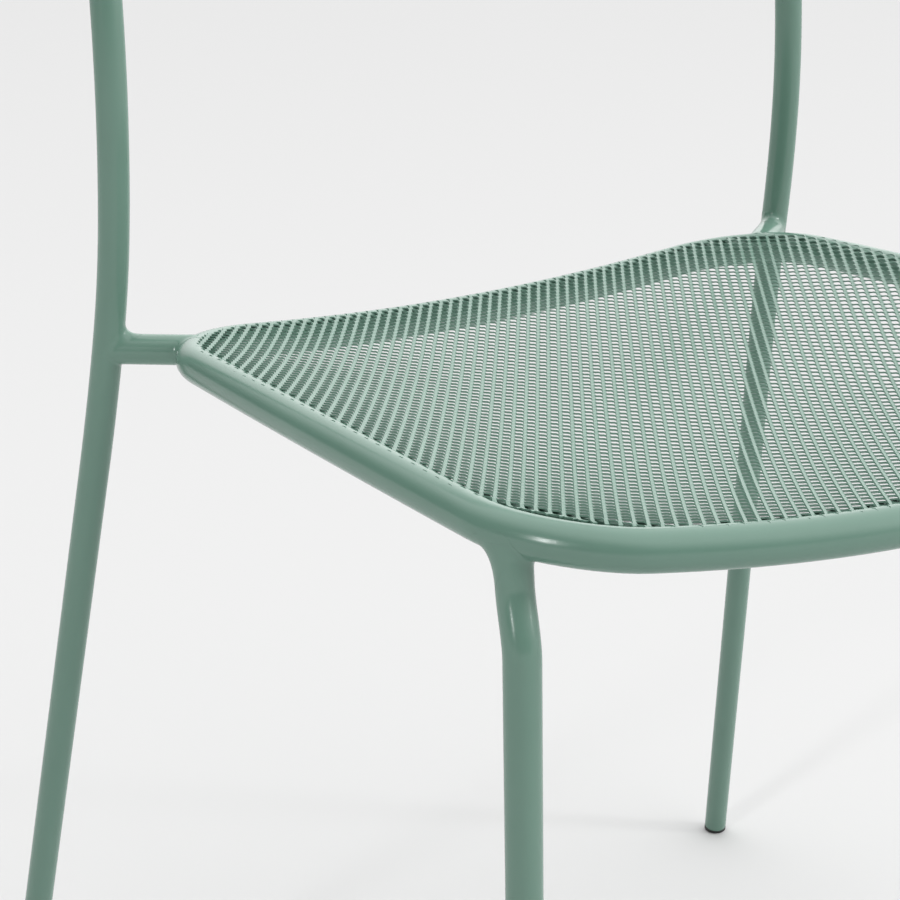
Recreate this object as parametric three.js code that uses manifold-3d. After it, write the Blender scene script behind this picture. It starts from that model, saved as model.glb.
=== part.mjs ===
// Stacking chair: a welded frame of bent steel tube with an expanded-metal seat and back panel.
// Millimetres, +Z up, floor at z = 0. The sitter faces -Y, so the backrest is on the +Y side
// and the sitter's left is on the +X side.
import * as THREE from 'three';
import Module from 'manifold-3d';

const wasm = await Module();
wasm.setup();

// ---------------------------------------------------------------- driving sizes
// tubes, expanded metal and gaps
const legTubeD = 14;         // legs, uprights, top rail and stubs
const legWall = 1.5;
const ringTubeD = 16;        // seat ring
const ringWall = 1.5;
const railTubeD = 12;        // lower rail of the backrest
const railWall = 1.2;
const meshThick = 1.6;       // strand thickness of the expanded metal
const gap = 0.3;             // clearance between neighbouring pieces

// seat ring, measured on the tube's centreline
const seatZ = 440;           // height of the ring's corners
const seatHalfFront = 176.6;
const seatHalfRear = 172.9;
const seatDepth = 310.3;     // straight depth between the front and rear edge lines
const cornerFrontR = 35;
const cornerRearR = 49;
const bowFront = 42.5;       // the front edge is bowed forward in plan
const bowSide = 5.4;
const bowRear = 5.8;
const dipFront = 7.4;        // the edges also dip in the middle, like a saddle
const dipRear = 12.9;
const riseSide = 3.1;        // the side edges rise a little in the middle
const seatTilt = 0.0135;     // the front stands higher than the rear
const meshOverlap = 3;       // how far the mesh laps over the tube's centreline
const dishDepth = 12;        // how far the front of the seat is pressed below its edges
const dishPower = 3;         // how flat the middle of the dish is
const dishEase = 0.5;        // share of the pressed depth lost towards the rear edge
const drainD = 5;            // drain hole under the ring's rear edge
const stubRise = 0.5;        // the stubs' tops stand this far above the ring's top

// rear legs and uprights
const uprightHalf = 196.2;   // half the distance between the uprights at seat height
const uprightBehind = 7.9;    // uprights stand this far behind the ring's rear edge line
const rearLegLean = 0.2205;  // backward slope of the rear legs
const rearLegSplay = 0.119;  // outward slope of the rear legs
const uprightCloseIn = 0.041;// inward slope of the uprights
const splayBend = 60;        // height over which the sideways kink is bent
const uprightBendR = 500;    // long bend from leg to upright
const bendStart = 5;         // height above the seat where that bend starts
const backLean = 14;         // degrees, upper part of the uprights
const backTopAbove = 381;    // top rail's centreline above the seat
const backCornerR = 62;
const backBow = 24;          // the backrest is bowed backward in plan
const backRailAbove = 250;   // lower rail's centreline above the seat

// front legs
const frontLegCorner = 24.7; // degrees round the front corner, from the side, where the leg is welded
const frontLegOut = 3.0;     // the straight leg stands this far outside its weld
const frontLegAhead = 10.4;  // and this far in front of it
const frontBendLow = 44;     // bend starts this far below the ring's centreline
const frontBendHigh = 16;    // and is over this far below it

// glides
const glideHead = 4;         // height of the glide under the tube end
const glideStem = 22;
const weldLeg = 2.6;         // size of the weld beads

// ---------------------------------------------------------------- colours
const coat = new THREE.Color('#6f8b7d');
const plastic = new THREE.Color('#1c1e1e');

const V = (x, y, z) => new THREE.Vector3(x, y, z);
const rad = (deg) => deg * Math.PI / 180;
const frontLine = -seatDepth / 2;
const rearLine = seatDepth / 2;
const uprightY = rearLine + uprightBehind;

// ---------------------------------------------------------------- shape of the seat
// Bends a flat plan point (x, y) onto the saddle the ring and the mesh share.
function seatForm(x, y) {
  const half = seatHalfFront + (seatHalfRear - seatHalfFront) * (y - frontLine) / seatDepth;
  const across = Math.max(-1, Math.min(1, x / half));
  const along = Math.max(-1, Math.min(1, y / (seatDepth / 2)));
  const midX = 1 - across * across;
  const midY = 1 - along * along;
  const bow = along > 0 ? bowRear : -bowFront;
  const dip = dipRear + (dipFront - dipRear) * (1 - along) / 2;
  const side = midY * Math.abs(across) ** 3;
  return V(
    x + Math.sign(x) * bowSide * side,
    y + bow * midX * Math.abs(along) ** 3,
    seatZ - dip * midX + riseSide * side - seatTilt * y,
  );
}

// Rounded trapezoid in plan, anticlockwise from the front-left corner.
function seatOutline(grow, frontR, rearR, cornerSteps, frontSteps, sideSteps) {
  const corners = [
    [-seatHalfFront - grow, frontLine - grow, frontR],
    [seatHalfFront + grow, frontLine - grow, frontR],
    [seatHalfRear + grow, rearLine + grow, rearR],
    [-seatHalfRear - grow, rearLine + grow, rearR],
  ];
  const arcs = corners.map(([x, y, r], i) => {
    const before = corners[(i + 3) % 4];
    const after = corners[(i + 1) % 4];
    const p = new THREE.Vector2(x, y);
    const a = new THREE.Vector2(before[0] - x, before[1] - y).normalize();
    const b = new THREE.Vector2(after[0] - x, after[1] - y).normalize();
    const half = Math.acos(a.dot(b)) / 2;
    const centre = a.clone().add(b).normalize().multiplyScalar(r / Math.sin(half)).add(p);
    const start = a.clone().multiplyScalar(r / Math.tan(half)).add(p).sub(centre);
    const turn = Math.PI - 2 * half;
    const points = [];
    for (let k = 0; k <= cornerSteps; k += 1) {
      const q = start.clone().rotateAround(new THREE.Vector2(0, 0), turn * k / cornerSteps);
      points.push(q.add(centre));
    }
    return points;
  });
  const outline = [];
  arcs.forEach((arc, i) => {
    outline.push(...arc);
    const next = arcs[(i + 1) % 4][0];
    const last = arc[arc.length - 1];
    const steps = i % 2 === 0 ? frontSteps : sideSteps;
    for (let k = 1; k < steps; k += 1) {
      outline.push(last.clone().lerp(next, k / steps));
    }
  });
  return outline;
}

// Point on the ring's centreline at an angle round one corner.
function ringCorner(side, rear, angle) {
  const r = rear ? cornerRearR : cornerFrontR;
  const half = rear ? seatHalfRear : seatHalfFront;
  const line = rear ? rearLine - r : frontLine + r;
  const x = half - r + r * Math.cos(angle);
  const y = line + (rear ? 1 : -1) * r * Math.sin(angle);
  const p = seatForm(x, y);
  return V(side * p.x, p.y, p.z);
}

// ---------------------------------------------------------------- shape of the rear frame
// Height above the seat where the long bend of the uprights ends.
function uprightBendEnd() {
  return bendStart + uprightBendR * (Math.sin(Math.atan(rearLegLean)) + Math.sin(rad(backLean)));
}

// Centreline of one upright at a height above the seat: half width, depth and height.
function uprightAt(h) {
  const turnLow = Math.atan(rearLegLean);
  const turnTop = rad(backLean);
  const bendEnd = uprightBendEnd();
  const rise = Math.max(0, Math.min(h, bendEnd) - bendStart);
  const turn = Math.asin(Math.sin(turnLow) - rise / uprightBendR);
  const straightLow = Math.min(h, bendStart);
  const straightTop = Math.max(0, h - bendEnd);
  const back = -rearLegLean * straightLow
    - uprightBendR * (Math.cos(turn) - Math.cos(turnLow))
    + Math.tan(turnTop) * straightTop;
  const slopeMean = (rearLegSplay + uprightCloseIn) / 2;
  const slopeTurn = (rearLegSplay - uprightCloseIn) / 2;
  const near = Math.min(Math.abs(h), splayBend);
  const bent = near * near / (2 * splayBend) + Math.abs(h) - near;
  return V(uprightHalf - slopeMean * h + slopeTurn * bent, uprightY + back, seatZ + h);
}

// Backward bow of the backrest, nothing at the uprights and full in the middle.
function backForm(x, h) {
  const edge = uprightAt(h);
  const across = Math.max(-1, Math.min(1, x / edge.x));
  return V(x, edge.y + backBow * (1 - across * across), edge.z);
}

// ---------------------------------------------------------------- builders
// Frames along a path that keep one side facing the reference direction.
function pathFrames(points, ref, closed) {
  const n = points.length;
  return points.map((p, i) => {
    const a = points[closed ? (i + n - 1) % n : Math.max(0, i - 1)];
    const b = points[closed ? (i + 1) % n : Math.min(n - 1, i + 1)];
    const t = b.clone().sub(a).normalize();
    const u = new THREE.Vector3().crossVectors(ref, t).normalize();
    const w = new THREE.Vector3().crossVectors(t, u);
    return { p, u, w };
  });
}

// Closed solid of round section along a path; the bore is left out where it is 0.
function tube(points, radius, bore, ref, closed, sides) {
  const frames = pathFrames(points, ref, closed);
  const n = points.length;
  const pos = [];
  const tri = [];
  const skins = bore > 0 ? [radius, bore] : [radius];
  skins.forEach((r) => {
    frames.forEach(({ p, u, w }, i) => {
      const ri = typeof r === 'function' ? r(i / (n - 1)) : r;
      for (let k = 0; k < sides; k += 1) {
        const a = 2 * Math.PI * k / sides;
        const q = p.clone().addScaledVector(u, ri * Math.cos(a)).addScaledVector(w, ri * Math.sin(a));
        pos.push(q.x, q.y, q.z);
      }
    });
  });
  const at = (skin, i, k) => skin * n * sides + (i % n) * sides + (k % sides);
  const quad = (a, b, c, d) => tri.push(a, b, c, a, c, d);
  const spans = closed ? n : n - 1;
  for (let i = 0; i < spans; i += 1) {
    for (let k = 0; k < sides; k += 1) {
      quad(at(0, i, k), at(0, i, k + 1), at(0, i + 1, k + 1), at(0, i + 1, k));
      if (bore > 0) {
        quad(at(1, i, k + 1), at(1, i, k), at(1, i + 1, k), at(1, i + 1, k + 1));
      }
    }
  }
  if (!closed && bore > 0) {
    for (let k = 0; k < sides; k += 1) {
      quad(at(0, 0, k + 1), at(0, 0, k), at(1, 0, k), at(1, 0, k + 1));
      quad(at(0, n - 1, k), at(0, n - 1, k + 1), at(1, n - 1, k + 1), at(1, n - 1, k));
    }
  }
  if (!closed && bore === 0) {
    for (let k = 1; k < sides - 1; k += 1) {
      tri.push(at(0, 0, 0), at(0, 0, k + 1), at(0, 0, k));
      tri.push(at(0, n - 1, 0), at(0, n - 1, k), at(0, n - 1, k + 1));
    }
  }
  return solid(pos, tri);
}

function solid(pos, tri) {
  return new wasm.Manifold(new wasm.Mesh({
    numProp: 3,
    vertProperties: new Float32Array(pos),
    triVerts: new Uint32Array(tri),
  }));
}

function node(name, body, colour, roughness) {
  const mesh = body.getMesh();
  const geometry = new THREE.BufferGeometry();
  geometry.setAttribute('position', new THREE.BufferAttribute(new Float32Array(mesh.vertProperties), 3));
  geometry.setIndex(new THREE.BufferAttribute(new Uint32Array(mesh.triVerts), 1));
  geometry.computeVertexNormals();
  const material = new THREE.MeshStandardMaterial({ color: colour, roughness, metalness: 0 });
  material.name = `${name}_finish`;
  const out = new THREE.Mesh(geometry, material);
  out.name = name;
  return out;
}

// Thin curved sheet: the outline, scaled by each of the rows in turn, is mapped to two skins.
function sheet(outline, rows, place) {
  const n = outline.length;
  const pos = [];
  const tri = [];
  for (let skin = 0; skin < 2; skin += 1) {
    rows.forEach((t) => {
      outline.forEach((q) => pos.push(...place(q, t, skin).toArray()));
    });
    pos.push(...place(outline[0], 0, skin).toArray());
  }
  const layer = rows.length * n + 1;
  const last = rows.length - 1;
  const at = (skin, r, i) => skin * layer + r * n + (i % n);
  const face = (skin, a, b, c) => (skin === 0 ? tri.push(a, b, c) : tri.push(a, c, b));
  for (let skin = 0; skin < 2; skin += 1) {
    for (let i = 0; i < n; i += 1) {
      for (let r = 0; r < last; r += 1) {
        face(skin, at(skin, r, i), at(skin, r, i + 1), at(skin, r + 1, i + 1));
        face(skin, at(skin, r, i), at(skin, r + 1, i + 1), at(skin, r + 1, i));
      }
      face(skin, at(skin, last, i), at(skin, last, i + 1), skin * layer + rows.length * n);
    }
  }
  for (let i = 0; i < n; i += 1) {
    tri.push(at(0, 0, i), at(1, 0, i), at(1, 0, i + 1));
    tri.push(at(0, 0, i), at(1, 0, i + 1), at(0, 0, i + 1));
  }
  return solid(pos, tri);
}

// Weld bead: a collar round the end of a tube that flares toward the piece it is welded to.
function weld(from, toward, mainR, tubeR, cutters) {
  const dir = toward.clone().sub(from).normalize();
  const first = 0.6 * mainR;
  const length = mainR + weldLeg - first;
  const steps = 5;
  const points = [];
  for (let k = 0; k <= steps; k += 1) {
    points.push(from.clone().addScaledVector(dir, first + length * k / steps));
  }
  const ref = Math.abs(dir.z) > 0.7 ? V(0, 1, 0) : V(0, 0, 1);
  const flare = (t) => tubeR + 2 * gap + weldLeg * (1 - t) ** 1.5;
  let bead = tube(points, flare, 0, ref, false, 16);
  cutters.forEach((c) => {
    bead = bead.subtract(c);
  });
  return largest(bead);
}

// Keeps the biggest of the separate lumps a cut can leave.
function largest(body) {
  const lumps = body.decompose();
  return lumps.reduce((a, b) => (Math.abs(b.volume()) > Math.abs(a.volume()) ? b : a));
}

// ---------------------------------------------------------------- the pieces
const legR = legTubeD / 2;
const ringR = ringTubeD / 2;
const railR = railTubeD / 2;

// Rear legs, uprights and top rail are one bent tube.
function backFramePath() {
  const topArc = backTopAbove - backCornerR;
  const bendEnd = uprightBendEnd();
  const right = [uprightAt(footStart())];
  const bendSteps = 16;
  for (let k = 0; k <= bendSteps; k += 1) {
    right.push(uprightAt(-splayBend + (bendEnd + splayBend) * k / bendSteps));
  }
  right.push(uprightAt(topArc));
  const cornerX = uprightAt(topArc).x - backCornerR;
  const cornerSteps = 8;
  for (let k = 1; k <= cornerSteps; k += 1) {
    const a = Math.PI / 2 * k / cornerSteps;
    right.push(backForm(cornerX + backCornerR * Math.cos(a), topArc + backCornerR * Math.sin(a)));
  }
  const railSteps = 6;
  for (let k = 1; k <= railSteps; k += 1) {
    right.push(backForm(cornerX * (1 - k / railSteps), backTopAbove));
  }
  const left = right.slice(0, -1).reverse().map((p) => V(-p.x, p.y, p.z));
  return right.concat(left);
}

// Rear tube ends stop short of the floor by the height of the glide's head.
function footStart() {
  return glideHead - seatZ;
}

function ringPath() {
  return seatOutline(0, cornerFrontR, cornerRearR, 7, 12, 9).map((q) => seatForm(q.x, q.y));
}

function frontLegPath(side) {
  const weldAt = ringCorner(side, false, rad(frontLegCorner));
  const foot = V(weldAt.x + side * frontLegOut, weldAt.y - frontLegAhead, glideHead);
  const low = V(foot.x, foot.y, weldAt.z - frontBendLow);
  const points = [foot, foot.clone().lerp(low, 0.5)];
  const steps = 8;
  for (let k = 0; k <= steps; k += 1) {
    const t = k / steps;
    const ease = t * t * (3 - 2 * t) * 0.75;
    const p = low.clone();
    p.z += (frontBendLow - frontBendHigh) * t;
    p.x += (weldAt.x - foot.x) * ease;
    p.y += (weldAt.y - foot.y) * ease;
    points.push(p);
  }
  points.push(weldAt);
  return points;
}

// A stub runs level from an upright to the nearest point of the ring's rear corner.
function stubEnds(side) {
  const corner = V(seatHalfRear - cornerRearR, rearLine - cornerRearR, 0);
  const angle = Math.atan2(uprightY - corner.y, uprightHalf - corner.x);
  const onRing = ringCorner(side, true, angle);
  onRing.z += ringR - legR + stubRise;
  const post = uprightAt(onRing.z - seatZ);
  return { post: V(side * post.x, post.y, onRing.z), ring: onRing };
}

// A glide is a stem in the tube's bore and a head under its end, cut level with the floor.
function glide(end, dir, bore) {
  const down = dir.clone().normalize();
  const along = (s) => end.clone().addScaledVector(down, s);
  const head = tube([along(gap), along(glideHead + legTubeD)], legR, 0, V(0, 1, 0), false, 24);
  const stem = tube([along(-glideStem), along(2 * gap)], bore - 2 * gap, 0, V(0, 1, 0), false, 12);
  return head.add(stem).trimByPlane([0, 0, 1], 0);
}

function build() {
  const legBore = legR - legWall;
  const framePath = backFramePath();
  const yRef = V(0, -1, 0);
  const zRef = V(0, 0, 1);
  const frame = tube(framePath, legR, legBore, yRef, false, 14);
  const frameKeepOut = tube(framePath, legR + gap, 0, yRef, false, 24);
  const ringLine = ringPath();
  const ringKeepOut = tube(ringLine, ringR + gap, 0, zRef, true, 24);

  // The ring is a closed tube with a drain hole under its rear edge.
  const drain = seatForm(0, rearLine);
  const below = drain.clone().add(V(0, 0, -ringTubeD));
  const hole = tube([drain, below], drainD / 2, 0, V(0, 1, 0), false, 12);
  const ring = tube(ringLine, ringR, ringR - ringWall, zRef, true, 14).subtract(hole);

  const pieces = [
    node('back_frame', frame, coat, 0.42),
    node('seat_ring', ring, coat, 0.42),
  ];

  // Expanded-metal seat, laid on top of the ring and pressed to a dish.
  const seatEdge = seatOutline(meshOverlap, cornerFrontR + 18, cornerRearR + 8, 6, 12, 9);
  const lift = ringR + 3.2 * gap;
  const justInside = 1 - 1.5 * meshOverlap / seatHalfRear;
  const seatRows = [1, justInside, 0.92, 0.82, 0.68, 0.5, 0.28];
  const seatMesh = sheet(seatEdge, seatRows, (q, t, skin) => {
    const p = seatForm(q.x * t, q.y * t);
    const ease = 1 - dishEase * THREE.MathUtils.smoothstep(q.y * t / seatDepth, -0.5, 0.5);
    const dish = dishDepth * ease * (1 - t ** dishPower);
    p.z += lift + (skin === 0 ? meshThick : 0) - dish;
    return p;
  });
  pieces.push(node('seat_mesh', seatMesh, coat, 0.5));

  // Lower back rail, bent to the same bow as the top rail and coped to the uprights.
  const railHalf = uprightAt(backRailAbove).x;
  const railPath = [];
  for (let k = 0; k <= 16; k += 1) {
    const x = railHalf * (1 - k / 8);
    const forward = backNormal(x, backRailAbove).multiplyScalar(legR - railR);
    railPath.push(backForm(x, backRailAbove).add(forward));
  }
  const rail = tube(railPath, railR, railR - railWall, zRef, false, 14).subtract(frameKeepOut);
  const railKeepOut = tube(railPath, railR + gap, 0, zRef, false, 20);
  pieces.push(node('back_lower_rail', largest(rail), coat, 0.42));

  // Back panel, laid on the front of the frame between the two rails.
  pieces.push(node('back_mesh', backPanel(0), coat, 0.5));
  const panelKeepOut = backPanel(gap);

  [['left', 1], ['right', -1]].forEach(([name, side]) => {
    const ends = stubEnds(side);
    const stubLine = [ends.post, ends.post.clone().lerp(ends.ring, 0.5), ends.ring];
    const stub = tube(stubLine, legR, legBore, zRef, false, 16)
      .subtract(frameKeepOut).subtract(ringKeepOut);
    const stubKeepOut = tube(stubLine, legR + gap, 0, zRef, false, 24);
    pieces.push(node(`rear_stub_${name}`, largest(stub), coat, 0.42));
    const cutters = [frameKeepOut, ringKeepOut, stubKeepOut];
    const postBead = weld(ends.post, ends.ring, legR, legR, cutters);
    pieces.push(node(`weld_upright_${name}`, postBead, coat, 0.42));
    const ringBead = weld(ends.ring, ends.post, ringR, legR, cutters);
    pieces.push(node(`weld_stub_${name}`, ringBead, coat, 0.42));

    const legLine = frontLegPath(side);
    const leg = tube(legLine, legR, legBore, yRef, false, 16).subtract(ringKeepOut);
    const legKeepOut = tube(legLine, legR + gap, 0, yRef, false, 24);
    pieces.push(node(`front_leg_${name}`, largest(leg), coat, 0.42));
    const top = legLine[legLine.length - 1];
    const under = legLine[legLine.length - 3];
    const legBead = weld(top, under, ringR, legR, [ringKeepOut, legKeepOut]);
    pieces.push(node(`weld_leg_${name}`, legBead, coat, 0.42));

    const railEnd = railPath[side > 0 ? 0 : railPath.length - 1];
    const railIn = railPath[side > 0 ? 2 : railPath.length - 3];
    const railBead = weld(railEnd, railIn, legR, railR, [frameKeepOut, railKeepOut, panelKeepOut]);
    pieces.push(node(`weld_rail_${name}`, railBead, coat, 0.42));

    const foot = legLine[0];
    pieces.push(node(`glide_front_${name}`, glide(foot, V(0, 0, -1), legBore), plastic, 0.6));
    const rearFoot = uprightAt(footStart());
    const above = uprightAt(footStart() + 40);
    const rearDown = rearFoot.clone().sub(above);
    rearFoot.x *= side;
    rearDown.x *= side;
    pieces.push(node(`glide_rear_${name}`, glide(rearFoot, rearDown, legBore), plastic, 0.6));
  });
  return pieces;
}

// Panel of expanded metal following the bow and lean of the backrest, in front of the tubes.
// The grow margin makes the larger copy that clears its neighbours.
function backPanel(grow) {
  const lowH = backRailAbove - 1 - grow;
  const highH = backTopAbove - 1 + grow;
  const cornerR = backCornerR - 1 + grow;
  const lowCornerR = 6;
  const edgeX = (h) => uprightAt(Math.min(h, backTopAbove - backCornerR)).x - 1 + grow;
  const outline = [];
  const round = (cx, ch, r, a0, steps) => {
    for (let k = 0; k <= steps; k += 1) {
      const a = a0 + Math.PI / 2 * k / steps;
      outline.push(new THREE.Vector2(cx + r * Math.cos(a), ch + r * Math.sin(a)));
    }
  };
  const run = (a, b, steps) => {
    for (let k = 1; k < steps; k += 1) {
      outline.push(a.clone().lerp(b, k / steps));
    }
  };
  const cornerX = edgeX(highH) - cornerR;
  const lowX = edgeX(lowH) - lowCornerR;
  round(lowX, lowH + lowCornerR, lowCornerR, -Math.PI / 2, 3);
  run(outline[outline.length - 1], new THREE.Vector2(cornerX + cornerR, highH - cornerR), 5);
  round(cornerX, highH - cornerR, cornerR, 0, 8);
  run(outline[outline.length - 1], new THREE.Vector2(-cornerX, highH), 12);
  round(-cornerX, highH - cornerR, cornerR, Math.PI / 2, 8);
  run(outline[outline.length - 1], new THREE.Vector2(-lowX - lowCornerR, lowH + lowCornerR), 5);
  round(-lowX, lowH + lowCornerR, lowCornerR, Math.PI, 3);
  run(outline[outline.length - 1], new THREE.Vector2(lowX, lowH), 12);
  const midH = (lowH + highH) / 2;
  return sheet(outline, [1, 0.8, 0.6, 0.4, 0.2], (q, t, skin) => {
    const h = midH + (q.y - midH) * t;
    const p = backForm(q.x * t, h);
    const n = backNormal(q.x * t, h);
    return p.addScaledVector(n, legR + gap + (skin === 0 ? meshThick + grow : -grow));
  });
}

// Forward-facing direction square to the backrest.
function backNormal(x, h) {
  const step = 0.5;
  const limit = uprightAt(h).x - 2 * step;
  const inside = Math.max(-limit, Math.min(limit, x));
  const across = backForm(inside + step, h).sub(backForm(inside - step, h));
  const up = backForm(inside, h + step).sub(backForm(inside, h - step));
  return across.cross(up).normalize();
}

const chair = new THREE.Group();
chair.name = 'stacking_chair';
const pieces = build();
const box = new THREE.Box3();
pieces.forEach((m) => box.expandByObject(m));
const shift = -(box.min.y + box.max.y) / 2;
pieces.forEach((m) => {
  m.geometry.translate(0, shift, 0);
  chair.add(m);
});

export default chair;
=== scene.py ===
# Stacking chair: bent steel tube frame, powder coated sage green, with an expanded-metal
# seat and back panel and plastic glides. All of it is one welded body, "root".
import math

import bpy
import numpy as np
from mathutils import Matrix, Vector


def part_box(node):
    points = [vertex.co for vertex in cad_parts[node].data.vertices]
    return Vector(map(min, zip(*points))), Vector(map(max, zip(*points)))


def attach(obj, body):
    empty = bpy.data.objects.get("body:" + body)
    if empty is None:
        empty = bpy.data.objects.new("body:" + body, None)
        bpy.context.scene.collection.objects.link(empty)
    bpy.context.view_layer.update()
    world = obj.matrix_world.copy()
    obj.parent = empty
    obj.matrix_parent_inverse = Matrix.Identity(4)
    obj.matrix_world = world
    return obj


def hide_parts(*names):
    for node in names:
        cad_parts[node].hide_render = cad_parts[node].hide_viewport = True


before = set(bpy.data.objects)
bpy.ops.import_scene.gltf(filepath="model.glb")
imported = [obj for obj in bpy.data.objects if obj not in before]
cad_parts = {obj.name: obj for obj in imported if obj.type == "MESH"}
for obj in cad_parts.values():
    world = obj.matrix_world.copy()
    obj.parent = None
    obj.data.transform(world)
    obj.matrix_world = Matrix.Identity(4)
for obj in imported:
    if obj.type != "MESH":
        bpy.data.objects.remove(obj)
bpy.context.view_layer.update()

MM = 0.001


# ------------------------------------------------------------------ camera
# A long lens low in front of the sitter's right knee, aimed under the seat, close enough
# that the seat, the near front leg and the lower part of the uprights fill the frame.
AZIMUTH, ELEVATION, ROLL = -32.15, 20.73, -1.05
DISTANCE = 1.0302
LENS_MM, SENSOR_MM = 82.48, 36.0
SHIFT = (-0.0223, 0.0463)
seat_low, seat_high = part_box("seat_ring")
AIM = Vector((-0.0242, seat_high[1] - 0.0389, seat_high[2] - 0.1092))

turn, lift, tip = (math.radians(v) for v in (AZIMUTH, ELEVATION, ROLL))
back = Vector((math.sin(turn) * math.cos(lift), -math.cos(turn) * math.cos(lift), math.sin(lift)))
level = Vector((math.cos(turn), math.sin(turn), 0.0))
upright = back.cross(level)
across = level * math.cos(tip) + upright * math.sin(tip)
above = upright * math.cos(tip) - level * math.sin(tip)
camera_data = bpy.data.cameras.new("camera")
camera_data.lens = LENS_MM
camera_data.sensor_width = SENSOR_MM
camera_data.shift_x, camera_data.shift_y = SHIFT
camera_data.clip_end = 60.0
camera = bpy.data.objects.new("camera", camera_data)
bpy.context.scene.collection.objects.link(camera)
pose = Matrix((across, above, back)).transposed().to_4x4()
pose.translation = AIM + back * DISTANCE
camera.matrix_world = pose
bpy.context.scene.camera = camera


# ------------------------------------------------------------------ seat ring
# One length of 16 mm steel tube bent to a rounded square with bowed, slightly dipped
# edges, closed by a butt weld, then powder coated with the rest of the frame.
RING_R = 8.0
HALF_FRONT, HALF_REAR = 176.6, 172.9
DEPTH = 310.3
CORNER_FRONT, CORNER_REAR = 35.0, 49.0
BOW_FRONT, BOW_SIDE, BOW_REAR = 42.5, 5.4, 5.8
DIP_FRONT, DIP_REAR, RISE_SIDE = 7.4, 12.9, 3.1
SEAT_TILT = 0.0135
SEAT_Z = 440.0
FRAME_Y = seat_low[1] / MM + DEPTH / 2 + BOW_FRONT + RING_R


def seat_form(x, y):
    """Lifts and bends flat plan points, in mm, onto the saddle that the ring and the seat share."""
    half = HALF_FRONT + (HALF_REAR - HALF_FRONT) * (y + DEPTH / 2) / DEPTH
    wide = np.clip(x / half, -1, 1)
    deep = np.clip(y / (DEPTH / 2), -1, 1)
    mid_x, mid_y = 1 - wide ** 2, 1 - deep ** 2
    bow = np.where(deep > 0, BOW_REAR, -BOW_FRONT)
    dip = DIP_REAR + (DIP_FRONT - DIP_REAR) * (1 - deep) / 2
    side = mid_y * np.abs(wide) ** 3
    return np.stack([
        x + np.sign(x) * BOW_SIDE * side,
        y + bow * mid_x * np.abs(deep) ** 3,
        SEAT_Z - dip * mid_x + RISE_SIDE * side - SEAT_TILT * y,
    ], -1)


def seat_outline(grow, front_r, rear_r, step):
    """Flat rounded outline of the seat in mm, anticlockwise from the front right corner."""
    corners = [
        (-HALF_FRONT - grow, -DEPTH / 2 - grow, front_r),
        (HALF_FRONT + grow, -DEPTH / 2 - grow, front_r),
        (HALF_REAR + grow, DEPTH / 2 + grow, rear_r),
        (-HALF_REAR - grow, DEPTH / 2 + grow, rear_r),
    ]
    arcs = []
    for i, (x, y, r) in enumerate(corners):
        p = np.array([x, y])
        a = np.array(corners[i - 1][:2]) - p
        b = np.array(corners[(i + 1) % 4][:2]) - p
        a, b = a / np.linalg.norm(a), b / np.linalg.norm(b)
        half = math.acos(a @ b) / 2
        centre = p + (a + b) / np.linalg.norm(a + b) * r / math.sin(half)
        start = p + a * r / math.tan(half) - centre
        swing = math.pi - 2 * half
        n = max(4, round(r * swing / step))
        t = np.linspace(0, swing, n + 1)
        arcs.append(centre + np.stack([start[0] * np.cos(t) - start[1] * np.sin(t),
                                       start[0] * np.sin(t) + start[1] * np.cos(t)], -1))
    line = []
    for i, arc in enumerate(arcs):
        line.append(arc)
        end, after = arc[-1], arcs[(i + 1) % 4][0]
        n = max(2, round(np.linalg.norm(after - end) / step))
        line.append(end + (after - end) * (np.arange(1, n) / n)[:, None])
    return np.concatenate(line)


def path_frames(path, ref, closed):
    """Two directions square to a path at each of its points, the first one square to ref."""
    if closed:
        along = np.roll(path, -1, 0) - np.roll(path, 1, 0)
    else:
        along = np.gradient(path, axis=0)
    along = along / np.linalg.norm(along, axis=1)[:, None]
    side = np.cross(ref, along)
    side /= np.linalg.norm(side, axis=1)[:, None]
    return side, np.cross(along, side)


def tube_skin(path, radius, ref, closed=False, sides=40):
    """Points and faces of a round tube along a path in mm; radius may vary along it."""
    side, up = path_frames(path, np.array(ref, float), closed)
    n = len(path)
    r = np.broadcast_to(np.asarray(radius, float), (n,))[:, None, None]
    t = np.linspace(0, 2 * math.pi, sides, endpoint=False)[None, :, None]
    points = path[:, None] + r * (side[:, None] * np.cos(t) + up[:, None] * np.sin(t))
    faces = []
    for i in range(n if closed else n - 1):
        for k in range(sides):
            a, b = i * sides, (i + 1) % n * sides
            faces.append((a + k, a + (k + 1) % sides, b + (k + 1) % sides, b + k))
    if not closed:
        faces.append(tuple(range(sides))[::-1])
        faces.append(tuple((n - 1) * sides + k for k in range(sides)))
    return points.reshape(-1, 3), faces


SHARP_EDGE = math.radians(45)
CAP_CORNERS = 12


def piece_from(name, parts, material, slot, *stands_for):
    """One smooth mesh object from (points in mm, faces) parts, riding on the frame."""
    points, faces, base = [], [], 0
    for p, f in parts:
        points.append(p)
        faces += [tuple(i + base for i in face) for face in f]
        base += len(p)
    mesh = bpy.data.meshes.new(name)
    mesh.from_pydata((np.concatenate(points) * MM).tolist(), [], faces)
    mesh.polygons.foreach_set("use_smooth", [len(f) < CAP_CORNERS for f in faces])
    mesh.set_sharp_from_angle(angle=SHARP_EDGE)
    mesh.materials.append(material)
    mesh.update()
    piece = bpy.data.objects.new(name, mesh)
    bpy.context.scene.collection.objects.link(piece)
    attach(piece, "root")
    if stands_for:
        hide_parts(*stands_for)
    return piece


def in_frame(points):
    """Moves plan points in mm from the seat's own middle to the chair's."""
    return points + np.array([0.0, FRAME_Y, 0.0])


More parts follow.
